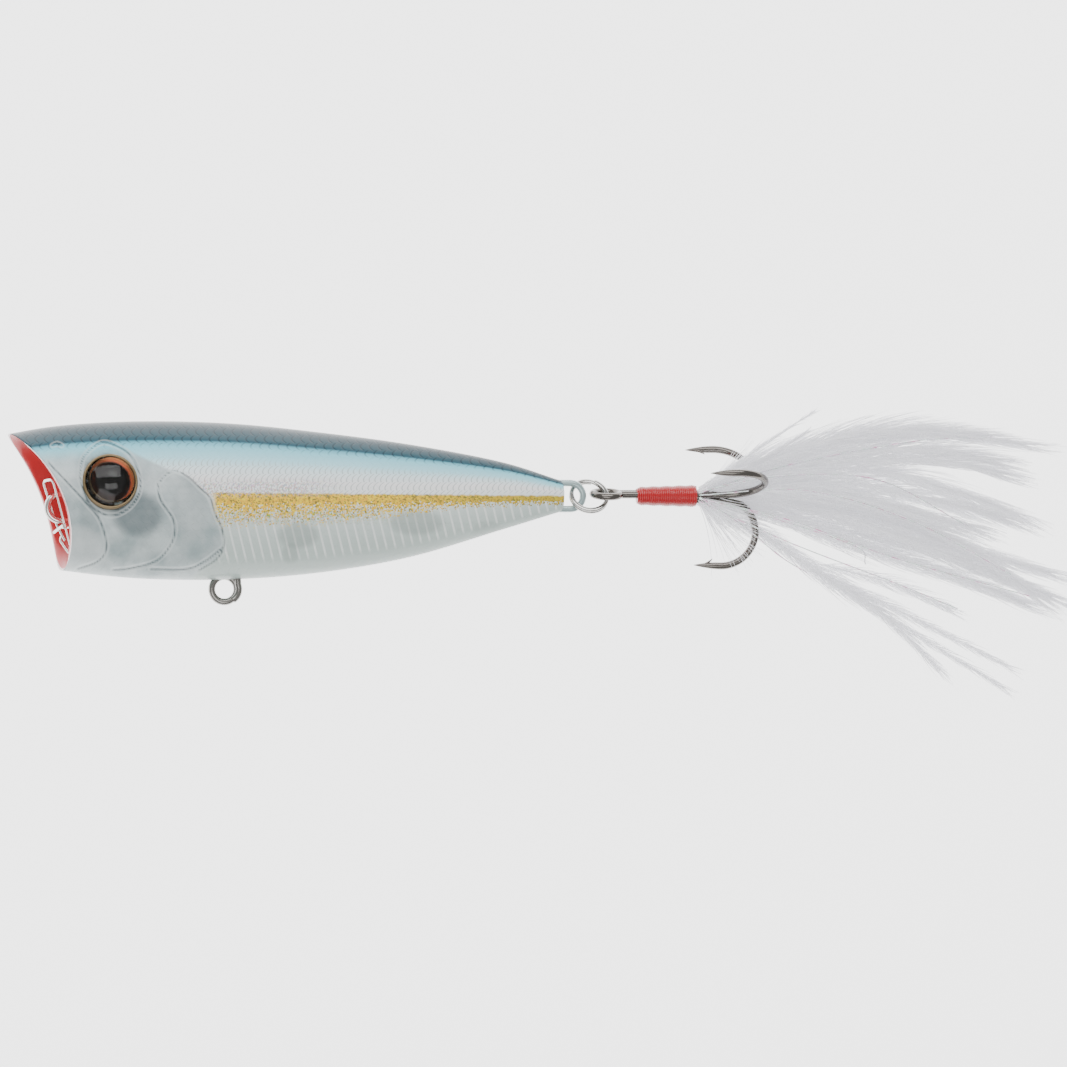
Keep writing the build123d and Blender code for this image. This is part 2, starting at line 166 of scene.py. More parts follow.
# pearl tinsel film, in patches of pink and pale green
TINSEL, tinsel_tree, tinsel_shader = material("pearl tinsel", "#f3dcea", Metallic=0.6, Roughness=0.2)
tinsel_noise = add(tinsel_tree, "ShaderNodeTexNoise", None,
                   {"Vector": add(tinsel_tree, "ShaderNodeTexCoord").outputs["Object"]}, Scale=900.0)
tinsel_tint = tint_ramp(tinsel_tree, tinsel_noise.outputs["Fac"],
                        ((0, "#000000"), (0.3, "#f08fc4"), (0.45, "#fbf4ff"), (0.6, "#e9fff4"),
                         (0.75, "#f7a8d0"), (1, "#ffffff")))
tinsel_tree.links.new(tinsel_tint, tinsel_shader.inputs["Base Color"])

# satin red paint inside the cup, and a pale pink painted highlight along its lip edge
RED, _, _ = material("red cup paint", "#c4000e", Roughness=0.4, Coat_Weight=0.15)
LIP_HIGHLIGHT, _, _ = material("painted lip highlight", "#e3c3c6", Roughness=0.3, Coat_Weight=0.8)
# the eye: matt ink, clear resin over it and the moulded rim round both
PUPIL, _, _ = material("pupil ink", "#030202", Roughness=1.0, Specular_IOR_Level=0.0)
LENS, _, _ = material("clear resin", "#ffffff", Roughness=0.0, Transmission_Weight=1.0, IOR=1.33)
SOCKET, _, _ = material("eye rim", "#7d6c50", Metallic=0.6, Roughness=0.3)

# printed iris foil: brown at the front, orange behind and gold on its lower edge
IRIS, iris_tree, iris_shader = material("iris foil", "#b0623a", Metallic=0.55, Roughness=0.3)
iris_where = add(iris_tree, "ShaderNodeAttribute", {"attribute_name": "polar"}).outputs["Vector"]
iris_parts = add(iris_tree, "ShaderNodeSeparateXYZ", None, {0: iris_where})
iris_rings = tint_ramp(iris_tree, iris_parts.outputs["Z"],
                       ((0, "#1a0d08"), (0.70, "#2a120a"), (0.76, "#c4562c"), (0.86, "#b8713f"),
                        (0.93, "#8d6a42"), (1, "#4a3a2a")))
front = smooth(iris_tree, iris_parts.outputs["X"], 1.2, -1.8)
iris_tint = blend_colour(iris_tree, times(iris_tree, front, 0.5), iris_rings, colour("#7a5a38"))
low_gold = smooth(iris_tree, iris_parts.outputs["Y"], -1.9, -2.9)
iris_tint = blend_colour(iris_tree, times(iris_tree, low_gold, 0.6), iris_tint, colour("#d8b98a"))
iris_tree.links.new(iris_tint, iris_shader.inputs["Base Color"])


# ------------------------------------------------------------------ flank paint
# Each coat takes the paint beneath it and gives it back with its own laid over.
BELLY_TO_BACK = (
    (0, "#a9b7b2"), (0.08, "#bccbc5"), (0.38, "#d3e0db"), (0.52, "#f4fbf8"), (0.64, "#ffffff"),
    (0.71, "#e8fbff"), (0.77, "#b4ecf8"), (0.84, "#8fdcec"), (0.868, "#6fb6c8"),
    (0.882, "#2a5563"), (0.90, "#2f5561"), (0.95, "#25444f"), (1, "#1c333b"),
)
GLITTER = ((0, "#7a6c00"), (0.2, "#9a8200"), (0.4, "#ffc600"), (0.62, "#e8b000"), (0.8, "#ffd800"),
           (1, "#ffe400"))
STRIPE_HEIGHT, STRIPE_RISE, STRIPE_HALF, STRIPE_TAPER = 9.25, 0.012, 1.32, -0.021
FLAKES_PER_MM, SCATTER = 7.5, 1.5
# inner parts that show through: (along, height, half length, half height), strength
INNER_SHADOWS = (((8.1, 5.9, 2.4, 1.5), 0.42), ((7.3, 3.9, 1.0, 1.2), 0.3),
                 ((21.0, 7.3, 3.2, 1.5), 0.42), ((29.0, 6.3, 2.0, 1.2), 0.2))
HEAD_SHADOWS = (((-9.4, 8.2, 3.0, 2.6), 0.72), ((-12.0, 12.0, 4.0, 4.2), 0.25),
                ((-3.6, 9.0, 2.2, 4.0), 0.2), ((-14.6, 7.5, 1.2, 4.5), 0.25))


class Flank:
    """The places that the body's mesh carries, as sockets."""

    def __init__(self, tree):
        self.where = add(tree, "ShaderNodeAttribute", {"attribute_name": "flank"}).outputs["Vector"]
        parts = add(tree, "ShaderNodeSeparateXYZ", None, {0: self.where})
        self.along, self.height, self.share = (parts.outputs[i] for i in range(3))
        self.head = add(tree, "ShaderNodeAttribute", {"attribute_name": "head"}).outputs["Fac"]
        self.body = opposite(tree, self.head)
        self.groove = add(tree, "ShaderNodeAttribute", {"attribute_name": "groove"}).outputs["Fac"]


def scale_edges(tree, flank, pitch, row_height, lean):
    """1 on the thin edges of staggered overlapping scales."""
    x = calc(tree, "DIVIDE", calc(tree, "MULTIPLY_ADD", flank.height, lean, flank.along), pitch)
    y = calc(tree, "DIVIDE", flank.height, row_height)
    shift = times(tree, calc(tree, "PINGPONG", calc(tree, "FLOOR", y), 1.0), 0.5)
    fx = calc(tree, "SUBTRACT", calc(tree, "FRACT", calc(tree, "ADD", x, shift)), 0.5)
    fy = calc(tree, "SUBTRACT", calc(tree, "FRACT", y), 0.5)
    bow = times(tree, fy, fy, 1.6)
    edge = calc(tree, "ABSOLUTE", calc(tree, "SUBTRACT", fx, calc(tree, "SUBTRACT", bow, 0.1)))
    return opposite(tree, smooth(tree, edge, 0.03, 0.16))


def rib_lines(tree, flank, pitch, lean):
    """1 on thin slanted lines across the flank."""
    x = calc(tree, "DIVIDE", calc(tree, "MULTIPLY_ADD", flank.height, lean, flank.along), pitch)
    wave = calc(tree, "MULTIPLY_ADD", calc(tree, "SINE", times(tree, x, 2 * pi)), 0.5, 0.5)
    return smooth(tree, wave, 0.74, 1.0)


def soft_spot(tree, flank, spot):
    """1 in the middle of an oval spot, fading out round it."""
    middle_x, middle_y, reach_x, reach_y = spot
    x = calc(tree, "DIVIDE", calc(tree, "SUBTRACT", flank.along, middle_x), reach_x)
    y = calc(tree, "DIVIDE", calc(tree, "SUBTRACT", flank.height, middle_y), reach_y)
    far = calc(tree, "ADD", calc(tree, "MULTIPLY", x, x), calc(tree, "MULTIPLY", y, y))
    return opposite(tree, smooth(tree, far, 0.35, 1.3))


def slanted_strokes(tree, flank, painted):
    """Grey strokes between the aqua and the stripe."""
    zone = times(tree, smooth(tree, flank.share, 0.52, 0.56),
                 opposite(tree, smooth(tree, flank.share, 0.72, 0.80)))
    strokes = times(tree, scale_edges(tree, flank, 0.62, 0.9, -0.5), zone, flank.body)
    return blend_colour(tree, times(tree, strokes, 0.6), painted, colour("#93a09e"))


def glitter_stripe(tree, flank, painted):
    """A gold stripe that breaks up into single flakes downwards, with mauve and copper ones beside it."""
    flakes = add(tree, "ShaderNodeTexVoronoi", None, {"Vector": flank.where}, Scale=FLAKES_PER_MM)
    chance = add(tree, "ShaderNodeSeparateColor", None, {0: flakes.outputs["Color"]})
    centre = calc(tree, "MULTIPLY_ADD", flank.along, STRIPE_RISE, STRIPE_HEIGHT)
    half = calc(tree, "MULTIPLY_ADD", flank.along, STRIPE_TAPER, STRIPE_HALF)
    off = calc(tree, "SUBTRACT", flank.height, centre)

    ragged = add(tree, "ShaderNodeTexNoise", None, {"Vector": flank.where}, Scale=2.4)
    ragged_off = calc(tree, "MULTIPLY_ADD", calc(tree, "SUBTRACT", ragged.outputs["Fac"], 0.5), 0.35, off)
    top = smooth(tree, calc(tree, "SUBTRACT", half, ragged_off), -0.1, 0.15)
    scatter = times(tree, opposite(tree, smooth(tree, flank.along, 9.0, 30.0)), -SCATTER)
    bottom = calc(tree, "SUBTRACT", scatter, half)
    cover = calc(tree, "DIVIDE", calc(tree, "SUBTRACT", ragged_off, bottom),
                 calc(tree, "SUBTRACT", times(tree, half, 0.1), bottom))
    kept = smooth(tree, calc(tree, "SUBTRACT", cover, chance.outputs["Blue"]), -0.04, 0.08)
    stripe = times(tree, top, kept, smooth(tree, flank.along, -1.6, -0.6))
    olive = times(tree, smooth(tree, flank.along, 14.0, 36.0), 0.5)
    gold = blend_colour(tree, olive, tint_ramp(tree, chance.outputs["Red"], GLITTER), colour("#8a8400"))
    painted = blend_colour(tree, times(tree, stripe, 0.95), painted, gold)

    above = times(tree, smooth(tree, off, 0.5, 1.2), opposite(tree, smooth(tree, off, 1.9, 3.2)),
                  opposite(tree, smooth(tree, flank.along, 7.0, 15.0)), flank.body)
    pink = times(tree, smooth(tree, chance.outputs["Green"], 0.5, 0.6), above)
    mauve = blend_colour(tree, 0.55, flakes.outputs["Color"], colour("#c46aa8"))
    painted = blend_colour(tree, times(tree, pink, 0.75), painted, mauve)

    below = times(tree, opposite(tree, smooth(tree, off, -1.2, -0.3)), smooth(tree, off, -2.6, -1.4),
                  opposite(tree, smooth(tree, flank.along, 12.0, 24.0)), flank.body)
    rust = times(tree, smooth(tree, chance.outputs["Green"], 0.55, 0.65), below)
    copper = blend_colour(tree, 0.5, flakes.outputs["Color"], colour("#b06a20"))
    return blend_colour(tree, times(tree, rust, 0.8), painted, copper)


def shaded_clear_head(tree, flank, painted):
    """The clear head: a mottled grey veil of painted shade from its dim hollow inside, darker painted shade
    below and behind the eye, and a painted light spot on the jaw.
    """
    inner_shade_noise = add(tree, "ShaderNodeTexNoise", None, {"Vector": flank.where}, Scale=0.35, Detail=3.0)
    # painted shade: the dim hollow inside seen through the clear plastic, mottled
    inner_shade_haze = tint_ramp(tree, inner_shade_noise.outputs["Fac"], ((0.35, "#93a4a7"), (0.65, "#c6d1d2")))
    low_head = times(tree, flank.head, opposite(tree, smooth(tree, flank.share, 0.74, 0.86)))
    painted = blend_colour(tree, times(tree, low_head, 0.85), painted, inner_shade_haze)
    for spot, depth in HEAD_SHADOWS:
        shadow = times(tree, soft_spot(tree, flank, spot), flank.head, depth)
        painted = blend_colour(tree, shadow, painted, colour("#4e5d62"))
    jaw_light = times(tree, soft_spot(tree, flank, (-16.0, 4.5, 3.5, 2.6)), flank.head, 0.5)
    return blend_colour(tree, jaw_light, painted, colour("#dfe6e6"))


def engraved_lines(tree, flank, painted):
    """Dark jaw and gill grooves, each with a pale edge."""
    line = opposite(tree, smooth(tree, flank.groove, 0.03, 0.15))
    edge = times(tree, smooth(tree, flank.groove, 0.12, 0.24),
                 opposite(tree, smooth(tree, flank.groove, 0.24, 0.42)))
    painted = blend_colour(tree, times(tree, edge, 0.3), painted, colour("#e9f0f0"))
    return blend_colour(tree, times(tree, line, 0.72), painted, colour("#3f4d51"))


def flank_paint():
    """Sprayed scales, a glitter stripe and pearl ribs on clear plastic, under a clear coat."""
    made, tree, shader = material("flank paint", Roughness=0.42, Coat_Weight=0.3, Coat_IOR=1.35,
                                  Coat_Roughness=0.05, Metallic=0.0, Specular_IOR_Level=0.2)
    flank = Flank(tree)
    painted = tint_ramp(tree, flank.share, BELLY_TO_BACK)
    scales = scale_edges(tree, flank, 1.0, 0.8, 0.0)
    back = smooth(tree, flank.share, 0.82, 0.89)
    painted = blend_colour(tree, times(tree, scales, back, 0.6), painted, colour("#152c34"))
    painted = slanted_strokes(tree, flank, painted)

    lower = times(tree, opposite(tree, smooth(tree, flank.share, 0.38, 0.44)), flank.body,
                  smooth(tree, flank.share, 0.09, 0.16))
    ribs = times(tree, rib_lines(tree, flank, 0.98, 0.24), lower)
    painted = blend_colour(tree, times(tree, ribs, 0.8), painted, colour("#f8fdfa"))
    for spot, depth in INNER_SHADOWS:
        shadow = times(tree, soft_spot(tree, flank, spot), depth)
        painted = blend_colour(tree, shadow, painted, colour("#7f8e88"))
    painted = glitter_stripe(tree, flank, painted)
    painted = shaded_clear_head(tree, flank, painted)
    painted = engraved_lines(tree, flank, painted)
    tree.links.new(painted, shader.inputs["Base Color"])

    relief = times(tree, smooth(tree, flank.groove, 0.0, 0.35), 0.5)
    texture = calc(tree, "ADD", times(tree, ribs, 0.25), times(tree, scales, -0.12))
    bump(tree, shader, calc(tree, "ADD", relief, texture), 0.16)
    return made


PAINT = flank_paint()


# ------------------------------------------------------------------ mesh and curve helpers
def mesh_piece(name, bm, materials, body, nodes, flat_material=-1):
    """Turns millimetres into metres and hands the piece to its body; one material may stay flat."""
    bmesh.ops.scale(bm, vec=(MM, MM, MM), verts=bm.verts)
    bmesh.ops.recalc_face_normals(bm, faces=bm.faces)
    for face in bm.faces:
        face.smooth = face.material_index != flat_material
    data = bpy.data.meshes.new(name)
    bm.to_mesh(data)
    bm.free()
    for one in materials:
        data.materials.append(one)
    made = bpy.data.objects.new(name, data)
    bpy.context.collection.objects.link(made)
    place(made, body, nodes)
    return made


def place(made, body, nodes):
    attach(made, body)
    if nodes:
        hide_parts(*nodes)


def curve_piece(name, lines, radius, mat, body, nodes, closed=False, sides=3):
    """One tube per line; a point may carry its own share of the radius as a fourth number."""
    data = bpy.data.curves.new(name, "CURVE")
    data.dimensions = "3D"
    data.bevel_depth = radius * MM
    data.bevel_resolution = sides
    data.use_fill_caps = True
    for line in lines:
        spline = data.splines.new("POLY")
        spline.points.add(len(line) - 1)
        for point, spot in zip(spline.points, line):
            point.co = (spot[0] * MM, spot[1] * MM, spot[2] * MM, 1)
            point.radius = spot[3] if len(spot) > 3 else 1.0
        spline.use_cyclic_u = closed
        spline.use_smooth = True
    data.materials.append(mat)
    made = bpy.data.objects.new(name, data)
    bpy.context.collection.objects.link(made)
    place(made, body, nodes)
    return made


def arc(centre, radius, start, sweep, steps=24):
    """Points round a centre in a plane of constant Z, angles in degrees."""
    return [
        (centre[0] + radius * cos(radians(start + sweep * i / steps)),
         centre[1] + radius * sin(radians(start + sweep * i / steps)), centre[2])
        for i in range(steps + 1)
    ]


def rounded(points, bend, steps=6):
    """A polyline with each inner corner rounded."""
    points = [Vector(p) for p in points]
    out = [points[0]]
    for before, here, after in zip(points, points[1:], points[2:]):
        first = (before - here).normalized()
        second = (after - here).normalized()
        reach = min(bend, (before - here).length / 2, (after - here).length / 2)
        a, b = here + first * reach, here + second * reach
        for i in range(steps + 1):
            t = i / steps
            out.append((1 - t) ** 2 * a + 2 * t * (1 - t) * here + t**2 * b)
    return out + [points[-1]]


def spline_through(points, steps=10):
    """Catmull-Rom curve through the points."""
    pts = [Vector(p) for p in points]
    pts = [2 * pts[0] - pts[1]] + pts + [2 * pts[-1] - pts[-2]]
    out = []
    for a, b, c, d in zip(pts, pts[1:], pts[2:], pts[3:]):
        for i in range(steps):
            t = i / steps
            out.append(0.5 * (2 * b + (c - a) * t + (2 * a - 5 * b + 4 * c - d) * t**2
                              + (3 * b - a - 3 * c + d) * t**3))
    return out + [pts[-2]]


# ------------------------------------------------------------------ body
# share of the length, then back and belly as shares of the height, then half the width as a share of it
SECTIONS = [
    (-0.024, 0.374, 0.405, 0.443), (0.090, 0.441, 0.467, 0.471), (0.235, 0.470, 0.520, 0.497),
    (0.398, 0.457, 0.526, 0.500), (0.561, 0.401, 0.483, 0.425), (0.724, 0.325, 0.385, 0.311),
    (0.887, 0.217, 0.216, 0.179), (1.000, 0.094, 0.094, 0.078),
]
UPPER_LIP, LOWER_LIP, LIP_LEAD, MOUTH_HOLLOW, LIP_EDGE, CUP_DEPTH = 6.85, 8.15, 5.95, 2.0, 0.55, 4.7
TAIL_ROUND = 0.25
profile = spline_through([Vector((a, b, c)) for a, b, c, _ in SECTIONS], 16)
widths = spline_through([Vector((a, d, 0)) for a, _, _, d in SECTIONS], 16)


def section(x):
    """Centre height, half height and half width of the body at x."""
    share = (x - NOSE_X) / BODY_LENGTH
    spot = min(max(share, profile[0].x), profile[-1].x)
    for i in range(len(profile) - 1):
        if profile[i + 1].x >= spot:
            break
    span = profile[i + 1].x - profile[i].x
    t = (spot - profile[i].x) / span if span else 0
    row = profile[i].lerp(profile[i + 1], t)
    half = widths[i].lerp(widths[i + 1], t).y
    back, belly = row.y * BODY_HEIGHT, row.z * BODY_HEIGHT
    return AXIS_Y + (back - belly) / 2, (back + belly) / 2, half * BODY_WIDTH


lip_high = Vector((NOSE_X, AXIS_Y + UPPER_LIP))
lip_low = Vector((NOSE_X + LIP_LEAD, AXIS_Y - LOWER_LIP))
gape = (lip_high - lip_low).length
up_lips = (lip_high - lip_low) / gape
into = Vector((up_lips.y, -up_lips.x))
mouth_middle = (lip_high + lip_low) / 2
rim_radius = ((gape / 2) ** 2 + MOUTH_HOLLOW**2) / (2 * MOUTH_HOLLOW)


def mouth_depth(u):
    """How far the rim's surface lies behind the line between the lips."""
    return MOUTH_HOLLOW - rim_radius + sqrt(max(rim_radius**2 - u**2, 0))


def rim_point(angle):
    """Where the body's surface meets the mouth's cut."""
    x = NOSE_X + LIP_LEAD / 2
    for _ in range(30):
        middle, high, half = section(x)
        y = middle + high * cos(angle)
        u = (Vector((x, y)) - mouth_middle).dot(up_lips)
        u = max(-gape / 2, min(gape / 2, u))
        target = mouth_middle + up_lips * u + into * mouth_depth(u)
        x += 0.6 * (target.x - x + (y - target.y) * into.y / into.x * -1)
    return x


AROUND, ALONG = 180, 230
body_bm = bmesh.new()
rings = []
rim_x = [rim_point(2 * pi * i / AROUND) for i in range(AROUND)]
for j in range(ALONG + 1):
    t = j / ALONG
    ring = []
    for i in range(AROUND):
        angle = 2 * pi * i / AROUND
        x = rim_x[i] + (TAIL_X - TAIL_ROUND - rim_x[i]) * t
        middle, high, half = section(x)
        ring.append(body_bm.verts.new((x, middle + high * cos(angle), half * sin(angle))))
    rings.append(ring)
for shrink, back in ((0.93, 0.16), (0.8, TAIL_ROUND)):
    middle, high, half = section(TAIL_X)
    turns = [2 * pi * i / AROUND for i in range(AROUND)]
    rings.append([body_bm.verts.new((TAIL_X - TAIL_ROUND + back, middle + high * shrink * cos(turn),
                                     half * shrink * sin(turn))) for turn in turns])
for first, second in zip(rings, rings[1:]):
    for i in range(AROUND):
        k = (i + 1) % AROUND
        body_bm.faces.new((first[i], first[k], second[k], second[i]))
body_bm.faces.new(rings[-1])

# the lip's edge, which carries the painted highlight, then the cup as a bowl
half_gape = gape / 2 - LIP_EDGE
half_wide = (SECTIONS[0][3] + SECTIONS[1][3]) / 2 * BODY_WIDTH - LIP_EDGE


def bowl_point(angle, share):
    """A point of the bowl at a share of the way out from its middle."""
    u, w = half_gape * cos(angle) * share, half_wide * sin(angle) * share
    depth = (CUP_DEPTH + MOUTH_HOLLOW) * sqrt(max(1 - share**2, 0))
    spot = mouth_middle + up_lips * u + into * max(depth, mouth_depth(u))
    return (spot.x, spot.y, w)


cup_rings = [rings[0]]
shares = [0.992, 0.975, 0.95, 0.9, 0.84, 0.76, 0.66, 0.54, 0.4, 0.25, 0.1]
edge_ring = []
for i in range(AROUND):
    outer, inner = rings[0][i].co, Vector(bowl_point(2 * pi * i / AROUND, shares[0]))
    edge_ring.append(body_bm.verts.new(outer.lerp(inner, 0.25)))
cup_rings.append(edge_ring)
for share in shares:
    cup_rings.append([body_bm.verts.new(bowl_point(2 * pi * i / AROUND, share)) for i in range(AROUND)])
for n, (first, second) in enumerate(zip(cup_rings, cup_rings[1:])):
    for i in range(AROUND):
        k = (i + 1) % AROUND
        face = body_bm.faces.new((first[k], first[i], second[i], second[k]))
        face.material_index = 1 if n == 0 else 2
body_bm.faces.new(cup_rings[-1]).material_index = 2

# engraved in the flank, as (along, height): jaw, cheek, gill cover, its lower fold, eye socket, nostril
HEAD_LINES = [
    [(-19.2, 13.9), (-16.9, 11.5), (-14.9, 9.3), (-13.5, 7.5), (-12.8, 4.7), (-13.7, 3.1), (-16.0, 2.2)],
    [(-7.2, 11.5), (-6.9, 9.8), (-5.6, 7.8), (-5.35, 6.25), (-5.9, 4.7), (-7.4, 3.1), (-10.2, 2.3),
     (-12.1, 2.1)],
    [(-7.0, 11.7), (-6.2, 12.6), (-5.2, 12.9), (-3.9, 12.3), (-2.5, 11.0), (-1.5, 10.0), (-0.9, 8.2),
     (-0.2, 6.6), (0.0, 4.7), (-0.8, 3.3), (-2.7, 2.1)],
    [(-0.2, 4.5), (-2.2, 3.0), (-4.2, 2.2), (-8.0, 2.2)],
    [(-15.7, 12.2), (-15.3, 14.4), (-13.4, 16.0), (-11.4, 15.5), (-10.0, 14.4), (-9.2, 12.5), (-9.2, 10.6),
     (-10.2, 9.0), (-11.8, 8.1), (-13.3, 8.3), (-14.8, 9.6), (-15.7, 12.2)],
    [(-18.7, 15.7), (-18.2, 15.9), (-17.7, 15.7)],
]
# where the clear head ends, as (height, along)
GILL_EDGE = [(0.0, -4.5), (2.1, -2.7), (3.3, -0.8), (4.7, 0.0), (6.6, -0.2), (8.2, -0.9), (10.0, -1.5),
             (11.0, -2.5), (12.3, -3.9), (12.9, -5.6), (14.0, -8.0), (16.0, -12.0), (19.0, -16.0)]
head_curves = [spline_through([Vector((a, b, 0)) for a, b in line], 8) for line in HEAD_LINES]


def line_distance(along, height):
    """How far a point of the flank is from the nearest engraved line."""
    spot = Vector((along, height, 0))
    best = 9.0
    for curve in head_curves:
        for a, b in zip(curve, curve[1:]):
            near, t = intersect_point_line(spot, a, b)
            near = a if t < 0 else b if t > 1 else near
            best = min(best, (near - spot).length)
    return best


def gill_edge(height):
    """How far along the head ends at that height."""
    for (low, a), (high, b) in zip(GILL_EDGE, GILL_EDGE[1:]):
        if height <= high:
            return a + (b - a) * (height - low) / (high - low)
    return GILL_EDGE[-1][1]


def surface_z(px, py):
    """The left flank's height over the middle plane."""
    middle, tall, wide = section(px)
    return wide * sqrt(max(1 - ((py - middle) / tall) ** 2, 0))


# the eye's own frame: +Z out of the flank, origin on the skin
low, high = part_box("eye_foil_left")
eye_x, eye_y = (low[0] + high[0]) / 2 / MM, (low[1] + high[1]) / 2 / MM
step = 0.5
slope_x = (surface_z(eye_x + step, eye_y) - surface_z(eye_x - step, eye_y)) / (2 * step)
slope_y = (surface_z(eye_x, eye_y + step) - surface_z(eye_x, eye_y - step)) / (2 * step)
eye_out = Vector((-slope_x, -slope_y, 1)).normalized()
eye_frame = (Matrix.Translation(Vector((eye_x, eye_y, surface_z(eye_x, eye_y))))
             @ Vector((0, 0, 1)).rotation_difference(eye_out).to_matrix().to_4x4())
EYE_RADIUS, EYE_SUNK = 3.0, 0.75
# the flank sinks under the foil, so that the eye sits in a socket
for vertex in body_bm.verts:
    side = 1 if vertex.co.z > 0 else -1
    local = eye_frame.inverted() @ Vector((vertex.co.x, vertex.co.y, abs(vertex.co.z)))
    if abs(local.z) < 2.5 and Vector((local.x, local.y)).length < EYE_RADIUS - 0.08 and abs(vertex.co.z) > 3:
        local.z = -EYE_SUNK
        moved = eye_frame @ local
        vertex.co = (moved.x, moved.y, side * moved.z)

body_piece = mesh_piece("body", body_bm, [PAINT, LIP_HIGHLIGHT, RED], "root",
                        ["body_shell_left", "body_shell_right"], flat_material=1)


def store(data, name, kind, values):
    """One value per vertex under that name."""
    made = data.attributes.new(name, kind, "POINT")
    key = "vector" if kind == "FLOAT_VECTOR" else "value"
    flat = [part for value in values for part in value] if key == "vector" else values
    made.data.foreach_set(key, flat)


places, heads, lines_near = [], [], []
for vertex in body_piece.data.vertices:
    x, y, z = vertex.co / MM
    along = x * cos(YAW) + abs(z) * sin(YAW)
    middle, high, half = section(x)
    places.append((along, y, (y - middle + high) / (2 * high)))
    heads.append(min(max(0.5 + (gill_edge(y) - along) / 0.6, 0), 1))
    lines_near.append(line_distance(along, y) if along < 1.5 else 9.0)
store(body_piece.data, "flank", "FLOAT_VECTOR", places)
store(body_piece.data, "head", "FLOAT", heads)
store(body_piece.data, "groove", "FLOAT", lines_near)


# ------------------------------------------------------------------ eyes
def spun(outline, faces_of=None, steps=64):
    """A solid of revolution round Z from (radius, height) pairs."""
    bm = bmesh.new()
    spin_rings = []
    for r, h in outline:
        count = 1 if r < 1e-6 else steps
        spin_rings.append([bm.verts.new((r * cos(2 * pi * i / steps), r * sin(2 * pi * i / steps), h))
                           for i in range(count)])
    for n, (a, b) in enumerate(zip(spin_rings, spin_rings[1:])):
        for i in range(steps):
            k = (i + 1) % steps
            corners = (a[i % len(a)], a[k % len(a)], b[k % len(b)], b[i % len(b)])
            face = bm.faces.new(list(dict.fromkeys(corners)))
            if faces_of:
                face.material_index = faces_of[n]
    return bm


# outlines of the printed foil, the resin dome and the rim round them, as (radius, height)
FOIL = [(0, 0), (1.0, 0), (1.98, 0), (2.06, 0), (2.5, 0), (2.8, 0), (2.8, -0.1), (0, -0.1)]
DOME_TOP, DOME_ROUND, DOME_EDGE = 1.5, 5.2, 2.78
DOME = [(0, 0.01), (DOME_EDGE, 0.01)]
for i in range(15):
    r = DOME_EDGE * (1 - i / 14)
    DOME.append((r, DOME_TOP - DOME_ROUND + sqrt(DOME_ROUND**2 - r**2)))
RIM = [(2.74, 0.1), (2.74, 0.66), (2.8, 0.78), (2.92, 0.82), (3.04, 0.74), (3.1, 0.1), (2.74, 0.1)]
for side, name in ((1, "left"), (-1, "right")):
    seat = eye_frame @ Matrix.Translation((0, 0, -EYE_SUNK + 0.12))
    foil_bm, lens_bm, rim_bm = spun(FOIL, [1, 1, 1, 0, 0, 0, 0]), spun(DOME), spun(RIM)
    polar = [(v.co.x, v.co.y, Vector((v.co.x, v.co.y)).length / EYE_RADIUS) for v in foil_bm.verts]
    for bm in (foil_bm, lens_bm, rim_bm):
        bm.transform(Matrix.Diagonal((1, 1, side, 1)) @ seat)
    foil = mesh_piece(f"eye_foil_{name}_look", foil_bm, [IRIS, PUPIL], "root",
                      [f"eye_foil_{name}"])
    store(foil.data, "polar", "FLOAT_VECTOR", polar)
    mesh_piece(f"eye_lens_{name}_look", lens_bm, [LENS], "root", [f"eye_lens_{name}"])
    mesh_piece(f"eye_rim_{name}", rim_bm, [SOCKET], "root", [])


# ------------------------------------------------------------------ wires
def stadium(front, rear, y, bend):
    """A closed wire loop: two straight sides and two half circles."""
    return arc((front, y, 0), bend, 90, 180, 20) + arc((rear, y, 0), bend, -90, 180, 20)


HANGER_BEND, HANGER_RADIUS = 1.425, 0.375
TIE_X, TIE_Y = NOSE_X + 5.8, AXIS_Y - 1.25
curve_piece("line_tie_look", [stadium(TIE_X, NOSE_X + 12.4, TIE_Y, HANGER_BEND)], HANGER_RADIUS, SNAP,
            "root", ["line_tie"], closed=True)
curve_piece("tail_hanger_look", [stadium(TAIL_X - 5.2, TAIL_X + 0.85, AXIS_Y, HANGER_BEND)], HANGER_RADIUS,
            COATED, "root", ["tail_hanger"], closed=True)
BELLY_BEND, ANCHOR_Y, SPARE_OUT = 1.395, 4.725, 0.675
belly_lines = [
    arc((0, 0, 0), BELLY_BEND, 0, 360, 40),
    # the spare end lies in front of the eye
    [(1.35, 1.6, 0.62)] + arc((0.1, 0, SPARE_OUT), BELLY_BEND, 20, -78, 14),
    # the shank and its crook are moulded into the body
    [(BELLY_BEND, 0.5, 0), (BELLY_BEND, ANCHOR_Y, 0)] + arc((0, ANCHOR_Y, 0), BELLY_BEND, 0, 290, 24)[1:],
]
curve_piece("belly_hanger_look", belly_lines, HANGER_RADIUS, WIRE, "root", ["belly_hanger"])

# snap: a narrow closed loop that hangs on the line tie
LEAN, TURN, LINK = radians(16.1), radians(65.0), radians(125.0)
link = Vector((TIE_X + HANGER_BEND * cos(LINK), TIE_Y + HANGER_BEND * sin(LINK), 0))
hang = Vector((sin(LEAN), -cos(LEAN), 0))
across = Vector((0, 0, sin(TURN))) + Vector((-hang.y, hang.x, 0)) * cos(TURN)
out_of = hang.cross(across)
HALF, SNAP_RADIUS, COIL, COIL_DOWN, PER_TURN = 0.93, 0.175, 0.31, 3.25, 24


def on_snap(down, wide, out=0.0):
    """A place on the snap from its top, across its loop and out of its plane."""
    return link + hang * down + across * wide + out_of * out


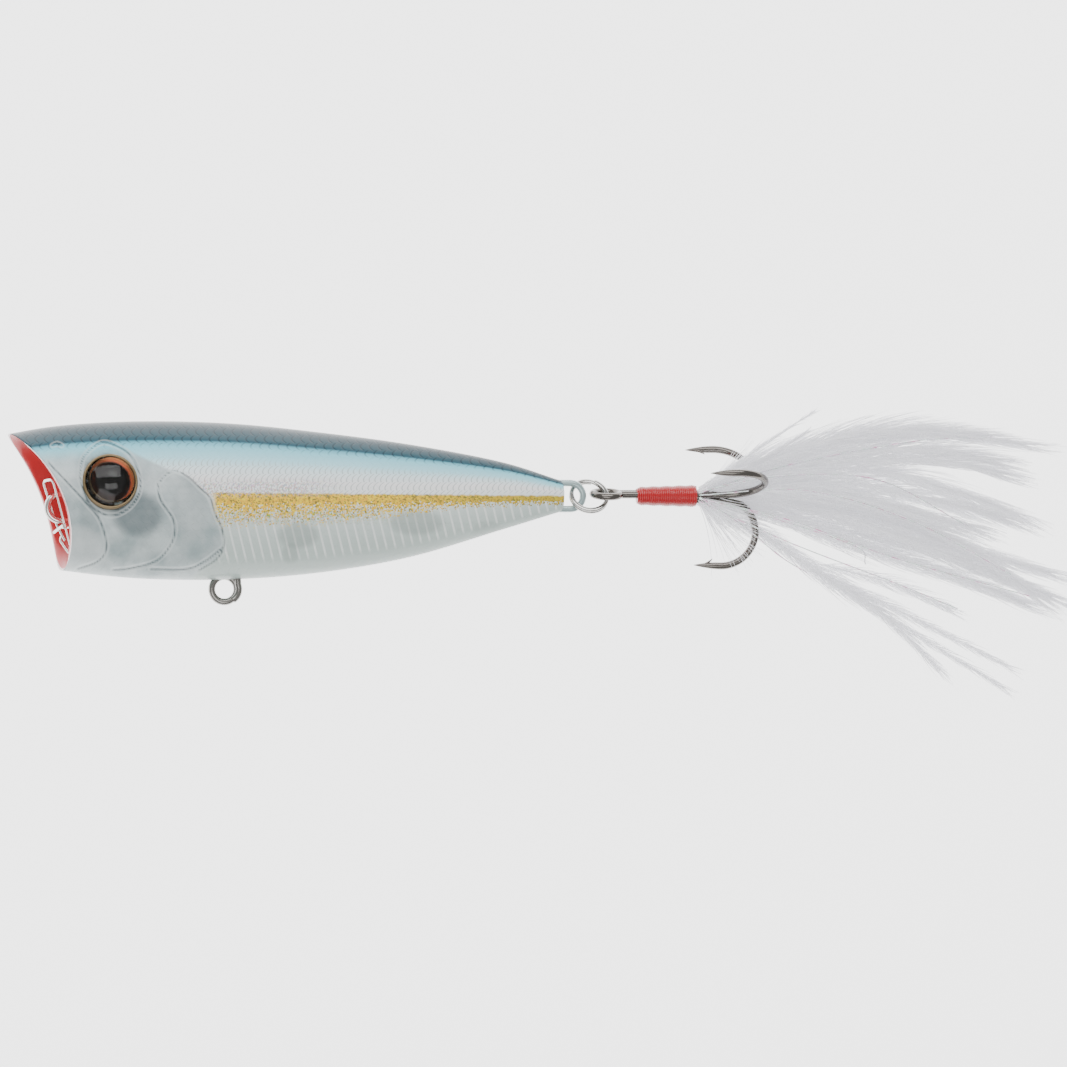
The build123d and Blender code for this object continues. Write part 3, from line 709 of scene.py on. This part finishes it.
snap_line = rounded([on_snap(5.0, 0), on_snap(3.0, -0.78 * HALF), on_snap(-1.9, -HALF), on_snap(-1.9, HALF),
                     on_snap(6.45, 0.75 * HALF), on_snap(6.45, 0.1 * HALF), on_snap(4.85, -0.95 * HALF),
                     on_snap(4.45, -0.45 * HALF)], 0.6)
clasp = [on_snap(3.85, -1.15 * HALF, 0.39), on_snap(COIL_DOWN, HALF, 0.32)]
coil = []
for i in range(2 * PER_TURN + 1):
    a = 2 * pi * i / PER_TURN
    coil.append(on_snap(COIL_DOWN + 0.18 * i / PER_TURN, 0.81 * HALF + COIL * cos(a), COIL * sin(a)))
curve_piece("snap_look", [snap_line, clasp, coil], SNAP_RADIUS, SNAP, "snap", ["snap"])

# ------------------------------------------------------------------ split ring: one wire wound twice
RING_X, RING_MID, RING_TILT = 40.85, 1.975, radians(36)
ring_axis = Vector((0, sin(RING_TILT), cos(RING_TILT)))
ring_side = Vector((1, 0, 0))
ring_up = ring_axis.cross(ring_side)
ring_bm = bmesh.new()
# the wire's section, as (outwards, along the ring's axis)
shape = [(-0.225, -0.08), (-0.225, 0.08), (-0.16, 0.14), (0.16, 0.14), (0.225, 0.08), (0.225, -0.08),
         (0.16, -0.14), (-0.16, -0.14)]
steps, start_angle, sweep, COIL_GAP = 116, radians(75), radians(712), 0.32
ring_rings = []
for i in range(steps + 1):
    a = start_angle + sweep * i / steps
    lift = COIL_GAP * (min(max((i / steps - 0.42) / 0.16, 0), 1) - 0.5)
    out_way = ring_side * cos(a) + ring_up * sin(a)
    middle = Vector((RING_X, AXIS_Y, 0)) + ring_axis * lift
    ring_rings.append([ring_bm.verts.new(middle + out_way * (RING_MID + r) + ring_axis * h)
                       for r, h in shape])
for a, b in zip(ring_rings, ring_rings[1:]):
    for i in range(len(shape)):
        k = (i + 1) % len(shape)
        ring_bm.faces.new((a[i], a[k], b[k], b[i]))
ring_bm.faces.new(ring_rings[0])
ring_bm.faces.new(ring_rings[-1])
mesh_piece("split_ring_look", ring_bm, [RING], "ring", ["split_ring"])

# ------------------------------------------------------------------ treble hook
EYE_X, EYE_BEND, HOOK_RADIUS, ROLL = 42.8, 1.5, 0.4, 11.1
SHANK = 0.9 * 2 * HOOK_RADIUS / sqrt(3)  # how far each shank lies from the hook's middle
BEND_X, BEND, POINT = 56.0, 3.7, 3.1
WRAP_X, WRAP_END = 46.1, 52.9


def hook_line(direction, front):
    """Shank, bend and tapered point as tube points."""
    out = Vector((0, cos(radians(direction)), sin(radians(direction))))
    base = Vector((0, AXIS_Y, 0))

    def spot(x, away, size=1.0):
        p = base + Vector((x, 0, 0)) + out * away
        return (p.x, p.y, p.z, size)

    line = [spot(front, SHANK), spot((front + BEND_X) / 2, SHANK)]
    line += [spot(BEND_X + BEND * cos(radians(-90 + 180 * i / 32)),
                  SHANK + BEND + BEND * sin(radians(-90 + 180 * i / 32))) for i in range(33)]
    for share, size in ((0.2, 0.98), (0.4, 0.86), (0.6, 0.66), (0.8, 0.4), (0.93, 0.18), (1.0, 0.05)):
        line.append(spot(BEND_X - POINT * share, SHANK + 2 * BEND - 0.1 * share, size))
    barb = [spot(BEND_X - 2.1, SHANK + 2 * BEND, 0.5), spot(BEND_X - 1.5, SHANK + 2 * BEND - 0.34, 0.36),
            spot(BEND_X - 1.0, SHANK + 2 * BEND - 0.8, 0.08)]
    return [line, barb]


roll_up = Vector((0, cos(radians(ROLL)), sin(radians(ROLL))))
roll_side = Vector((0, -sin(radians(ROLL)), cos(radians(ROLL))))
eye_middle = Vector((EYE_X, AXIS_Y, 0)) + roll_up * SHANK / 2
eye_line = []
for i in range(41):
    a = 2 * pi * i / 40
    eye_line.append(tuple(eye_middle + EYE_BEND * (Vector((1, 0, 0)) * cos(a) + roll_side * sin(a))))
pair = [eye_line] + hook_line(60 + ROLL, EYE_X + 1.41) + hook_line(300 + ROLL, EYE_X + 1.41)
curve_piece("treble_pair_look", pair, HOOK_RADIUS, HOOK, "hook", ["treble_pair"], sides=4)
curve_piece("treble_third_look", hook_line(180 + ROLL, WRAP_X + 0.3), HOOK_RADIUS, HOOK, "hook",
            ["treble_third"], sides=4)

# thread: a core and the windings round it
windings = []
turn_count, per_turn = 31, 20
for i in range(turn_count * per_turn + 1):
    t = i / (turn_count * per_turn)
    a = 2 * pi * i / per_turn
    r = 0.9 + 0.2 * t + 0.03 * sin(9 * t * pi)
    r *= 1 - 0.22 * max(0, 1 - t * 14) - 0.10 * max(0, 1 - (1 - t) * 16)
    windings.append((WRAP_X + 0.1 + (WRAP_END - WRAP_X - 0.2) * t, AXIS_Y + r * cos(a), r * sin(a)))
THREAD_RADIUS, CORE_RADIUS = 0.13, 0.88
core = [(WRAP_X + 0.1, AXIS_Y, 0, 0.8), (WRAP_X + 0.6, AXIS_Y, 0, 1.0), (WRAP_END - 0.1, AXIS_Y, 0, 1.18)]
curve_piece("thread_wrap_look", [windings], THREAD_RADIUS, THREAD, "hook", ["thread_wrap"],
            sides=2)
curve_piece("thread_core", [core], CORE_RADIUS, THREAD, "hook", [], sides=4)


# ------------------------------------------------------------------ hackle feathers
FIBRE_RADIUS = 0.055


def barbs(quill, left, barb_length, count, spread, droop):
    """A tapered quill and its barbs, each a fine tapered fibre."""
    line = spline_through([(WRAP_END + x, AXIS_Y + y, left) for x, y in quill], 14)
    last = len(line) - 1
    fibres = [[(p.x, p.y, p.z, 2.0 * (1 - 0.88 * i / last)) for i, p in enumerate(line)]]
    for n in range(count):
        share = 0.03 + 0.96 * n / count
        where = share * last
        i = min(int(where), last - 1)
        start = line[i].lerp(line[i + 1], where - i)
        way = (line[i + 1] - line[i]).normalized()
        side_way = Vector((-way.y, way.x, 0))
        size = barb_length * (0.4 + 0.6 * sin(pi * min(1, 0.2 + 0.76 * share)) ** 0.7)
        for side in (1, -1):
            reach = size * random.uniform(0.6, 1.15)
            angle = radians(spread * random.uniform(0.5, 1.5) * (1 - 0.5 * share))
            drift = random.uniform(-0.8, 0.8)
            curl = random.uniform(-0.35, 0.35)
            points = []
            for k in range(7):
                t = k / 6
                turn = angle * (1 - 0.6 * t)
                ahead = way * cos(turn) + side_way * side * sin(turn)
                spot = start + ahead * reach * t + Vector((0, (curl - droop) * t * t, drift * t))
                points.append((spot.x, spot.y, spot.z, 1.0 - 0.8 * t))
            fibres.append(points)
    return fibres


def feather(name, quills, left, barb_length, per_mm, spread, droop=0.0, loose=()):
    """One bunch of hackle: its quills with barbs, and loose fibres."""
    fibres = list(loose)
    for n, quill in enumerate(quills):
        long = sum((Vector(b) - Vector(a)).length for a, b in zip(quill, quill[1:]))
        fibres += barbs(quill, left + 0.25 * (n % 3 - 1), barb_length, int(per_mm * long), spread, droop)
    curve_piece(f"{name}_look", fibres, FIBRE_RADIUS, HACKLE, "hook", [name], sides=0)


def down(count, low, high, reach):
    """Loose soft fibres that spring from the rear of the wrap between two angles."""
    fibres = []
    for _ in range(count):
        angle, size = radians(random.uniform(low, high)), reach * random.uniform(0.5, 1.1)
        bend, drift = random.uniform(-0.5, 0.7), random.uniform(-2.5, 2.5)
        points = []
        for k in range(8):
            t = k / 7
            turn = angle * (1 - bend * t * 0.5)
            points.append((WRAP_END - 0.1 + size * t * cos(turn), AXIS_Y + size * t * sin(turn), drift * t,
                           0.9 - 0.7 * t))
        fibres.append(points)
    return fibres


feather("hackle_wisp", [[(0, 0.9), (3.0, 2.6), (7.2, 5.6), (13.0, 9.3)],
                        [(0, 0.8), (4.0, 2.6), (9.0, 5.2), (12.0, 7.0)]],
        1.5, 2.0, 6.0, 16)
feather("hackle_upper", [[(0, 0.6), (8.0, 3.6), (18.0, 6.1), (27.0, 6.8), (37.2, 5.6)],
                         [(0, 0.5), (8.0, 3.0), (18.0, 4.9), (27.0, 5.0), (33.5, 3.9)],
                         [(0, 0.7), (7.0, 3.7), (16.0, 6.6), (24.0, 7.2), (32.1, 6.6)],
                         [(0, 0.4), (9.0, 2.6), (19.0, 4.0), (28.0, 3.8), (34.2, 2.4)]],
        0.9, 8.0, 6.0, 20, loose=down(60, 10, 42, 9))
feather("hackle_middle", [[(0, 0.3), (9.0, 2.2), (19.0, 3.0), (28.0, 0.8), (36.3, -2.0)],
                          [(0, 0.2), (9.0, 1.4), (19.0, 1.2), (28.0, -0.8), (34.7, -2.4)],
                          [(0, 0.2), (8.0, 0.8), (16.0, 0.2), (24.0, -1.8), (31.0, -3.4)]],
        0.3, 8.0, 6.5, 20, 0.4)
feather("hackle_main", [[(0, 0.0), (9.0, 0.2), (20.0, -2.2), (30.0, -5.6), (40.1, -8.5)],
                        [(0, 0.0), (9.0, -0.3), (20.0, -3.4), (30.0, -7.2), (40.1, -11.1)],
                        [(0, 0.1), (9.0, 0.6), (20.0, -1.2), (29.0, -4.9), (38.1, -10.9)]],
        -0.3, 8.5, 7.0, 18)
feather("hackle_under", [[(0, -0.4), (8.0, -1.2), (18.0, -4.0), (25.0, -5.4), (30.6, -6.5)],
                         [(0, -0.4), (8.0, -1.8), (17.0, -4.9), (28.0, -8.4), (37.5, -11.9)]],
        -0.9, 8.0, 6.5, 20, loose=down(90, -62, -12, 9.5))
feather("hackle_lower", [[(0, -0.7), (7.6, -4.0), (15.0, -8.6), (24.0, -13.0), (36.0, -19.0)],
                         [(0, -0.7), (7.0, -3.8), (15.0, -9.2), (24.0, -14.6), (35.4, -21.4)],
                         [(13.0, -7.8), (20.7, -12.5), (27.7, -19.2)],
                         [(14.0, -7.4), (22.3, -9.6), (29.1, -12.5)]],
        -1.5, 4.5, 3.6, 24)

# pearl strands among the feathers
strands = []
for quill, left in (([(0, 0.3), (10.0, 3.4), (24.0, 6.0), (33.0, 6.5)], 1.2),
                    ([(0, -0.2), (7.5, -2.2), (17.5, -5.5), (18.7, -7.5)], 1.5),
                    ([(0, -0.3), (10.0, -2.6), (22.0, -6.8), (37.2, -11.0)], 1.4),
                    ([(0, -0.5), (10.0, -5.0), (22.0, -9.5), (29.2, -12.4)], 1.0),
                    ([(0, 0.5), (9.0, 2.2), (20.0, 1.8), (30.0, -3.2)], 1.6),
                    ([(0, -0.1), (5.0, -3.4), (9.0, -6.6), (12.0, -8.4)], 1.8),
                    ([(0, 0.1), (12.0, 0.6), (24.0, -2.8), (35.0, -8.6)], 1.7)):
    line = spline_through([(WRAP_END + x, AXIS_Y + y, left) for x, y in quill], 10)
    strands.append([tuple(p) for p in line])
TINSEL_RADIUS = 0.06
curve_piece("tinsel_look", strands, TINSEL_RADIUS, TINSEL, "hook", ["tinsel"], sides=1)

# ------------------------------------------------------------------ floor, light and camera
floor_bm = bmesh.new()
bmesh.ops.create_grid(floor_bm, x_segments=1, y_segments=1, size=1.5)
floor_data = bpy.data.meshes.new("floor")
floor_bm.to_mesh(floor_data)
floor_bm.free()
FLOOR, _, _ = material("pale floor", "#fafafa", Roughness=0.9, Emission_Color=colour("#ffffff"),
                       Emission_Strength=2.6)
floor_data.materials.append(FLOOR)
floor = bpy.data.objects.new("floor", floor_data)
bpy.context.collection.objects.link(floor)
FLOOR_Z = -0.12
floor.location = (0, 0, FLOOR_Z)

world = bpy.data.worlds.new("studio")
bpy.context.scene.world = world
world.use_nodes = True
world.node_tree.nodes["Background"].inputs["Color"].default_value = (1, 1, 1, 1)
world.node_tree.nodes["Background"].inputs["Strength"].default_value = 0.55


def softbox(name, spot, aim, size, power):
    data = bpy.data.lights.new(name, "AREA")
    data.shape = "RECTANGLE"
    data.size, data.size_y = size
    data.energy = power
    made = bpy.data.objects.new(name, data)
    bpy.context.collection.objects.link(made)
    made.location = spot
    made.rotation_euler = (Vector(aim) - Vector(spot)).to_track_quat("-Z", "Y").to_euler()


aim = (0.034, 0.006, 0)
softbox("top box", (0.0, 0.45, 0.45), aim, (0.7, 0.35), 3.2)
softbox("front box", (-0.1, -0.25, 0.7), aim, (0.6, 0.4), 2.0)

camera_data = bpy.data.cameras.new("camera")
camera = bpy.data.objects.new("camera", camera_data)
bpy.context.collection.objects.link(camera)
FRAME_WIDTH, DISTANCE = 117.05, 4.0
camera_data.sensor_width = 36
camera_data.lens = 36 * DISTANCE / (FRAME_WIDTH * MM)
camera_data.clip_end = 20
target = Vector((33.86 * MM / cos(YAW), 6.09 * MM, 0))
towards = Vector((-sin(YAW), 0, cos(YAW)))
right = Vector((cos(YAW), 0, sin(YAW)))
upward = Vector((0, 1, 0))
camera.matrix_world = Matrix.Translation(target + towards * DISTANCE) @ Matrix(
    (right, upward, towards)).transposed().to_4x4()
bpy.context.scene.camera = camera
